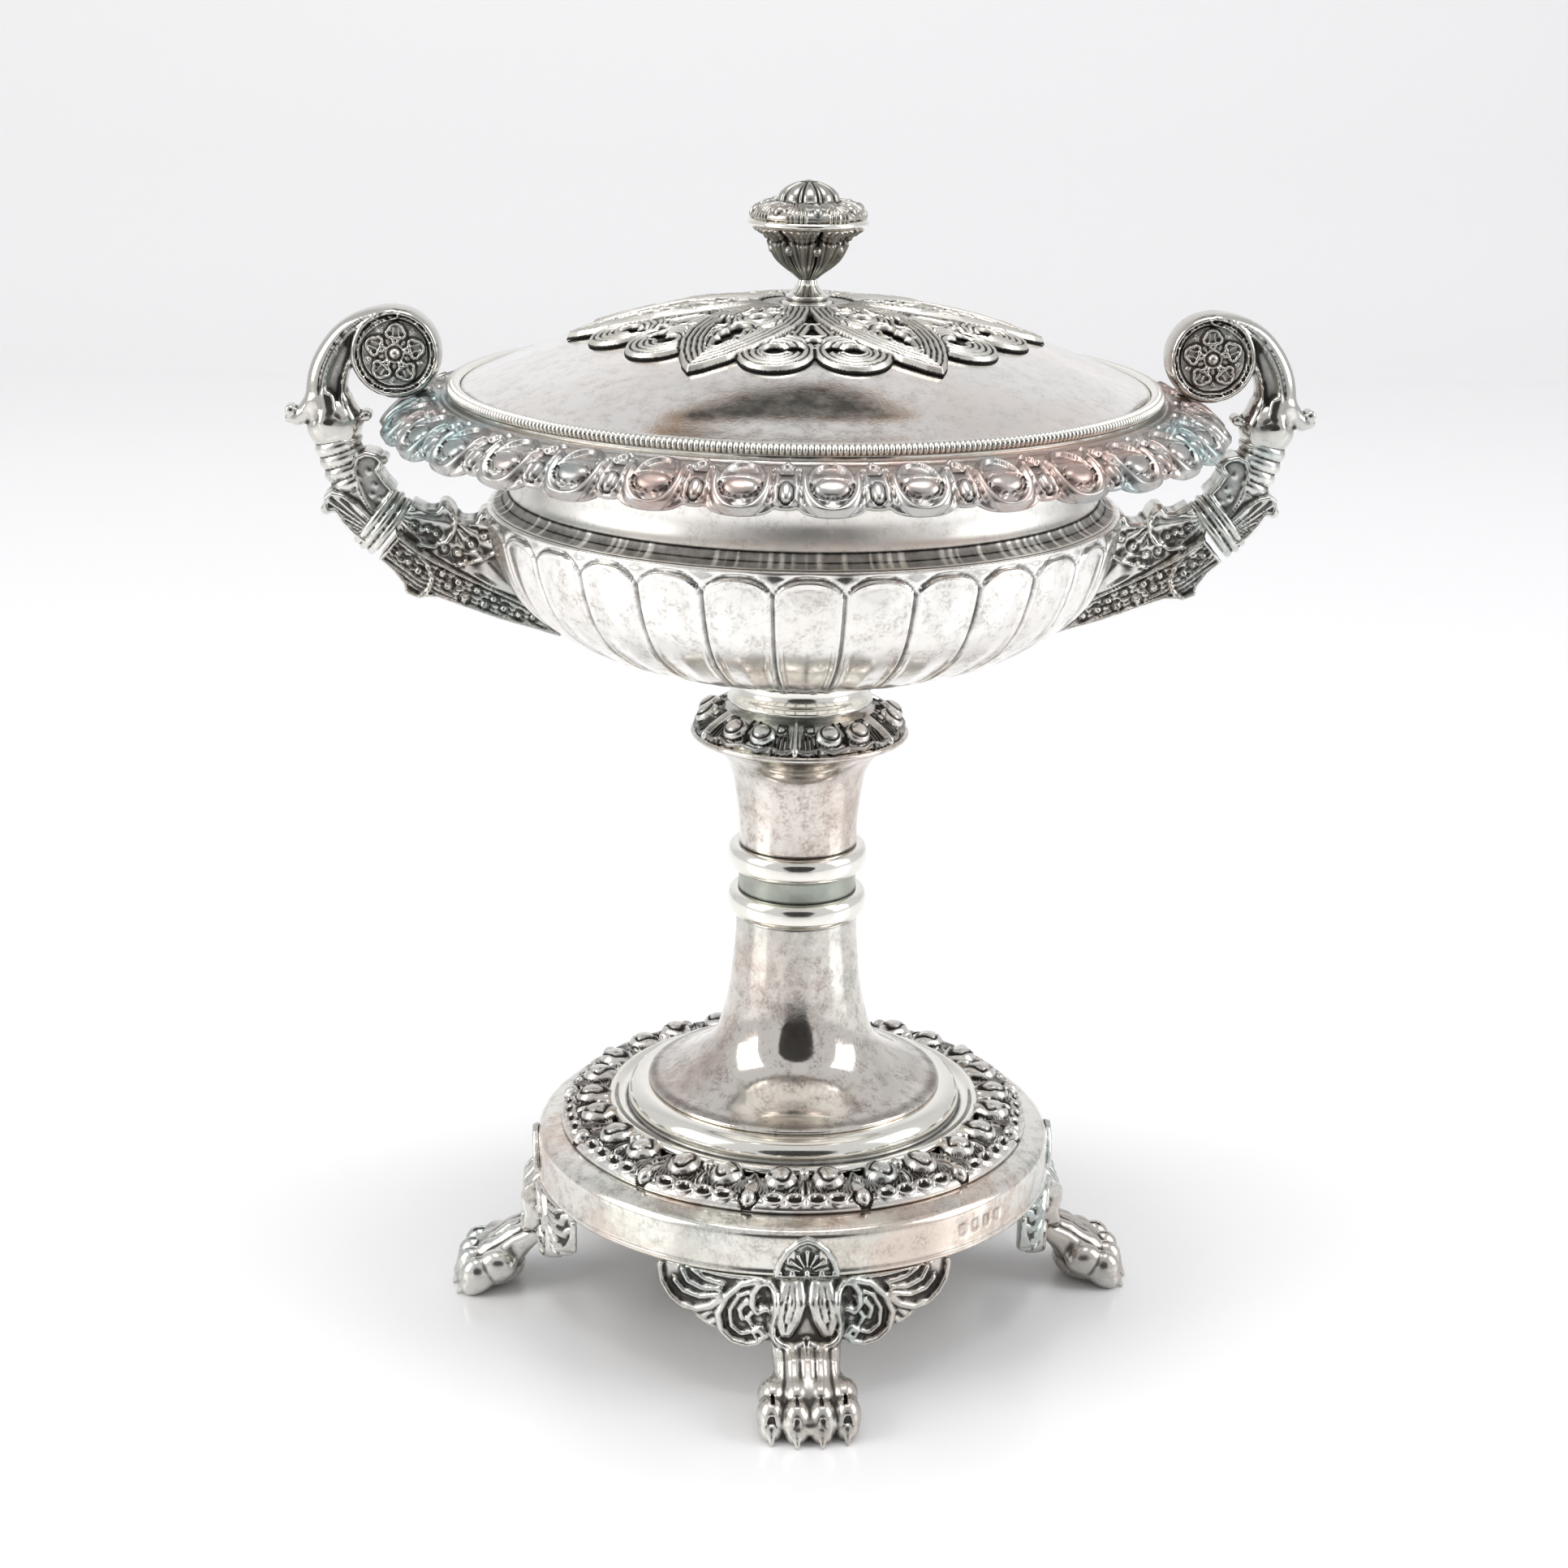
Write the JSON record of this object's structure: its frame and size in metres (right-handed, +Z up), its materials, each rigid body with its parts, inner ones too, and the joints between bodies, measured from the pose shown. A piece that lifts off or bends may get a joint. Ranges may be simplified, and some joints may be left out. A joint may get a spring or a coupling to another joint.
{
  "type": "sugar bowl",
  "caption": "Footed silver sugar bowl: lobed bowl on a ringed stem and drum base with paw feet, two volute handles, openwork domed lid that lifts off by a finial.",
  "frame": {"origin": "on the bowl axis, in the plane that the four paw soles stand on", "axes": "+Z up along the bowl axis, +X through the right-hand handle, -Y towards the front"},
  "size_m": [0.2036, 0.1726, 0.24],
  "materials": {
    "polished_silver": "polished silver with light tarnish and fine hairlines",
    "chased_silver": "chased silver, oxidised dark in the recesses",
    "cast_silver": "cast silver, oxidised dark in the recesses, bright on the ridges",
    "bright_silver": "bright polished silver mouldings",
    "hidden_silver": "dull unpolished silver fastening"
  },
  "bodies": {
    "bowl": {"base_plinth": "polished_silver", "base_flower_band": "chased_silver", "base_step_moulding": "bright_silver", "stem_lower": "polished_silver", "stem_ring_lower": "bright_silver", "stem_mid_band": "polished_silver", "stem_ring_upper": "bright_silver", "stem_upper": "polished_silver", "stem_flower_collar": "chased_silver", "bowl_foot_ring": "bright_silver", "bowl_body": "polished_silver", "bowl_neck": "polished_silver", "rim_border": "chased_silver", "handle_left_arm": "cast_silver", "handle_left_collar": "bright_silver", "handle_left_socket": "cast_silver", "handle_left_horn": "cast_silver", "handle_left_rosette_front": "bright_silver", "handle_left_rosette_back": "bright_silver", "handle_right_arm": "cast_silver", "handle_right_collar": "bright_silver", "handle_right_socket": "cast_silver", "handle_right_horn": "cast_silver", "handle_right_rosette_front": "bright_silver", "handle_right_rosette_back": "bright_silver", "foot_front": "cast_silver", "foot_right": "cast_silver", "foot_back": "cast_silver", "foot_left": "cast_silver", "palmette_front": "bright_silver", "palmette_right": "bright_silver", "palmette_back": "bright_silver", "palmette_left": "bright_silver"},
    "lid": {"lid_dome": "polished_silver", "lid_bead_edge": "bright_silver", "lid_tracery": "chased_silver", "lid_bezel": "polished_silver", "finial_foot": "polished_silver", "finial_cup": "polished_silver", "finial_ledge": "bright_silver", "finial_knob": "chased_silver", "finial_stud": "hidden_silver", "finial_washer": "hidden_silver", "finial_nut": "hidden_silver"}
  },
  "joints": [
    {"name": "lid_lift", "type": "slide", "parent": "bowl", "child": "lid", "axis": [0, 0, 1], "range_m": [0, 0.12]}
  ]
}
